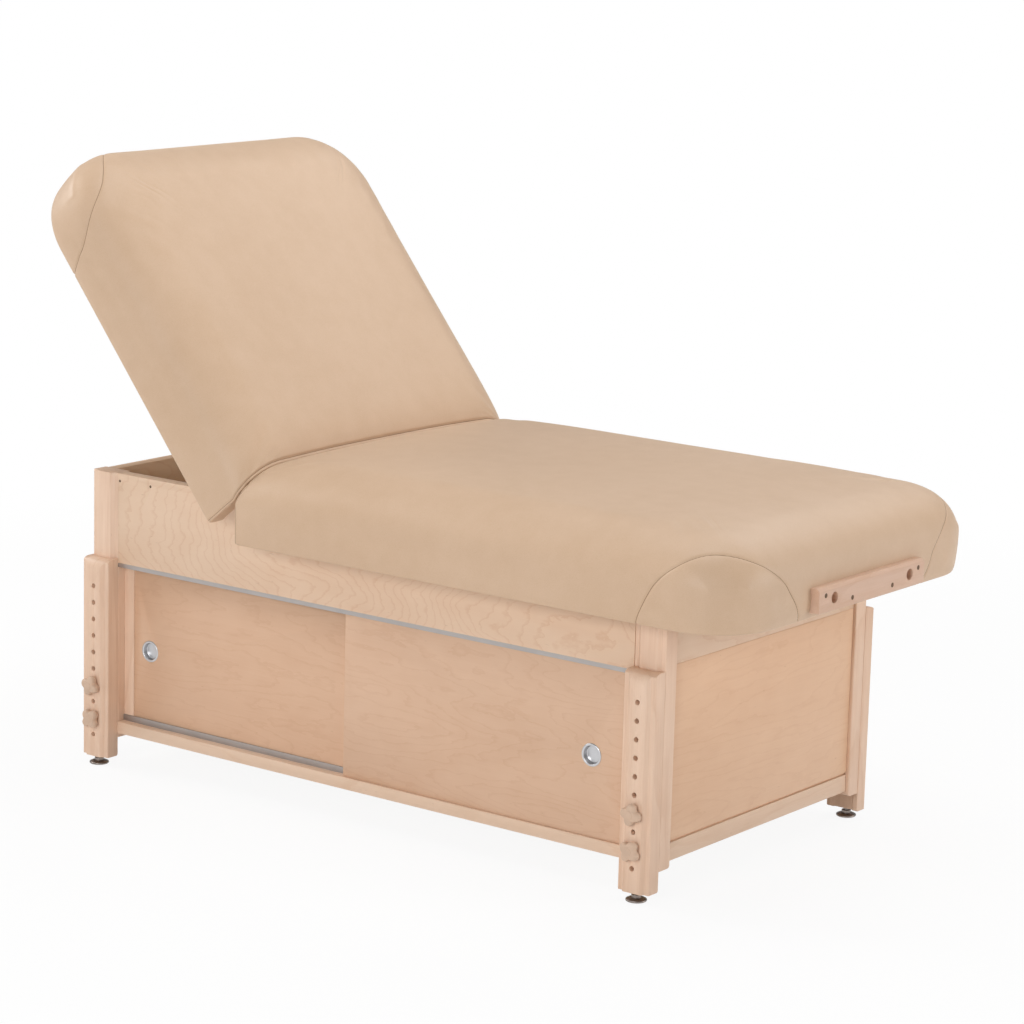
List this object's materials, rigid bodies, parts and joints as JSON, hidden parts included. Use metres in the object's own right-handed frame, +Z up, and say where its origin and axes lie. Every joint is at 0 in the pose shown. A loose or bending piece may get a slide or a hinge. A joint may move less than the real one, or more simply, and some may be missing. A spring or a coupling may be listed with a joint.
{
  "type": "massage table",
  "caption": "Wooden cabinet massage table with skirted vinyl cushions, a tilting backrest, sliding doors and bolted height legs.",
  "frame": {"origin": "on the floor under the middle of the outline, with the backrest raised", "axes": "+X towards the foot end, +Y towards the back, away from the doors, +Z up"},
  "size_m": [1.6006, 0.792, 1.1474],
  "materials": {
    "vinyl": "beige upholstery vinyl with a fine grain and a soft sheen",
    "knob_plastic": "light tan moulded plastic",
    "glide_steel": "plated steel foot and threaded stem",
    "insert_brass": "turned brass",
    "maple_solid": "clear satin lacquer on solid maple",
    "maple_rail": "clear satin lacquer on solid maple",
    "maple_veneer": "clear satin lacquer on maple veneered plywood",
    "track_aluminium": "satin grey aluminium",
    "pull_chrome": "satin chrome",
    "birch_plywood": "birch plywood, unfinished",
    "softwood": "sawn softwood",
    "zinc_steel": "zinc plated steel",
    "rod_chrome": "hard chrome rod",
    "strut_paint": "black powder coat"
  },
  "bodies": {
    "base": {"front_head_post": "maple_solid", "front_foot_post": "maple_solid", "back_head_post": "maple_solid", "back_foot_post": "maple_solid", "front_head_leg": "maple_solid", "front_foot_leg": "maple_solid", "back_head_leg": "maple_solid", "back_foot_leg": "maple_solid", "post_inserts": "insert_brass", "leg_inserts": "insert_brass", "front_apron": "maple_veneer", "back_apron": "maple_veneer", "head_apron": "maple_veneer", "foot_apron": "maple_veneer", "head_panel": "maple_veneer", "foot_panel": "maple_veneer", "back_panel": "maple_veneer", "cabinet_floor": "birch_plywood", "front_bottom_rail": "maple_rail", "back_bottom_rail": "maple_rail", "head_bottom_rail": "maple_rail", "foot_bottom_rail": "maple_rail", "head_stile": "maple_solid", "foot_stile": "maple_solid", "upper_track": "track_aluminium", "lower_track": "track_aluminium", "hinge_crossbar": "birch_plywood", "seat_deck": "birch_plywood", "seat_rails": "softwood", "seat_cushion": "vinyl", "seat_hinge_leaf": "zinc_steel", "hinge_pin": "zinc_steel", "strut_lower_bracket": "strut_paint", "cradle_block": "maple_solid", "wood_screws": "zinc_steel"},
    "backrest": {"backrest_deck": "birch_plywood", "backrest_rails": "softwood", "backrest_cushion": "vinyl", "backrest_hinge_leaf": "zinc_steel", "strut_upper_bracket": "strut_paint"},
    "front_door_panel": {"front_door": "maple_veneer", "front_door_pull": "pull_chrome"},
    "rear_door_panel": {"rear_door": "maple_veneer", "rear_door_pull": "pull_chrome"},
    "strut_body": {"strut_cylinder": "strut_paint"},
    "strut_plunger": {"strut_rod": "rod_chrome"},
    "front_head_upper_knob_turn": {"front_head_upper_knob": "knob_plastic"},
    "front_head_lower_knob_turn": {"front_head_lower_knob": "knob_plastic"},
    "front_head_glide_turn": {"front_head_glide": "glide_steel"},
    "front_foot_upper_knob_turn": {"front_foot_upper_knob": "knob_plastic"},
    "front_foot_lower_knob_turn": {"front_foot_lower_knob": "knob_plastic"},
    "front_foot_glide_turn": {"front_foot_glide": "glide_steel"},
    "back_head_upper_knob_turn": {"back_head_upper_knob": "knob_plastic"},
    "back_head_lower_knob_turn": {"back_head_lower_knob": "knob_plastic"},
    "back_head_glide_turn": {"back_head_glide": "glide_steel"},
    "back_foot_upper_knob_turn": {"back_foot_upper_knob": "knob_plastic"},
    "back_foot_lower_knob_turn": {"back_foot_lower_knob": "knob_plastic"},
    "back_foot_glide_turn": {"back_foot_glide": "glide_steel"}
  },
  "joints": [
    {"name": "backrest_tilt", "type": "hinge", "parent": "base", "child": "backrest", "pos_m": [-0.2877, 0, 0.55675], "axis": [0, -1, 0], "range_deg": [0, 51]},
    {"name": "front_door_slide", "type": "slide", "parent": "base", "child": "front_door_panel", "axis": [-1, 0, 0], "range_m": [0, 0.5499]},
    {"name": "rear_door_slide", "type": "slide", "parent": "base", "child": "rear_door_panel", "axis": [1, 0, 0], "range_m": [0, 0.5019]},
    {"name": "strut_swing", "type": "hinge", "parent": "base", "child": "strut_body", "pos_m": [-0.3277, 0, 0.41675], "axis": [0, -1, 0], "range_deg": [0, 40]},
    {"name": "strut_stroke", "type": "slide", "parent": "strut_body", "child": "strut_plunger", "axis": [-0.3375, 0, 0.9413], "range_m": [-0.108, 0]},
    {"name": "front_head_upper_knob_spin", "type": "hinge", "parent": "base", "child": "front_head_upper_knob_turn", "pos_m": [-0.66995, -0.3315, 0.1543], "axis": [0, -1, 0], "continuous": true},
    {"name": "front_head_lower_knob_spin", "type": "hinge", "parent": "base", "child": "front_head_lower_knob_turn", "pos_m": [-0.66995, -0.3315, 0.0908], "axis": [0, -1, 0], "continuous": true},
    {"name": "front_head_glide_spin", "type": "hinge", "parent": "base", "child": "front_head_glide_turn", "pos_m": [-0.66995, -0.3315, 0.008], "axis": [0, 0, 1], "continuous": true},
    {"name": "front_foot_upper_knob_spin", "type": "hinge", "parent": "base", "child": "front_foot_upper_knob_turn", "pos_m": [0.57005, -0.3315, 0.1543], "axis": [0, -1, 0], "continuous": true},
    {"name": "front_foot_lower_knob_spin", "type": "hinge", "parent": "base", "child": "front_foot_lower_knob_turn", "pos_m": [0.57005, -0.3315, 0.0908], "axis": [0, -1, 0], "continuous": true},
    {"name": "front_foot_glide_spin", "type": "hinge", "parent": "base", "child": "front_foot_glide_turn", "pos_m": [0.57005, -0.3315, 0.008], "axis": [0, 0, 1], "continuous": true},
    {"name": "back_head_upper_knob_spin", "type": "hinge", "parent": "base", "child": "back_head_upper_knob_turn", "pos_m": [-0.66995, 0.3315, 0.1543], "axis": [0, 1, 0], "continuous": true},
    {"name": "back_head_lower_knob_spin", "type": "hinge", "parent": "base", "child": "back_head_lower_knob_turn", "pos_m": [-0.66995, 0.3315, 0.0908], "axis": [0, 1, 0], "continuous": true},
    {"name": "back_head_glide_spin", "type": "hinge", "parent": "base", "child": "back_head_glide_turn", "pos_m": [-0.66995, 0.3315, 0.008], "axis": [0, 0, 1], "continuous": true},
    {"name": "back_foot_upper_knob_spin", "type": "hinge", "parent": "base", "child": "back_foot_upper_knob_turn", "pos_m": [0.57005, 0.3315, 0.1543], "axis": [0, 1, 0], "continuous": true},
    {"name": "back_foot_lower_knob_spin", "type": "hinge", "parent": "base", "child": "back_foot_lower_knob_turn", "pos_m": [0.57005, 0.3315, 0.0908], "axis": [0, 1, 0], "continuous": true},
    {"name": "back_foot_glide_spin", "type": "hinge", "parent": "base", "child": "back_foot_glide_turn", "pos_m": [0.57005, 0.3315, 0.008], "axis": [0, 0, 1], "continuous": true}
  ],
  "couplings": [
    {"joint": "strut_swing", "follows": "backrest_tilt", "ratio": 0.65502},
    {"joint": "strut_stroke", "follows": "backrest_tilt", "m_per_rad": -0.11288}
  ]
}
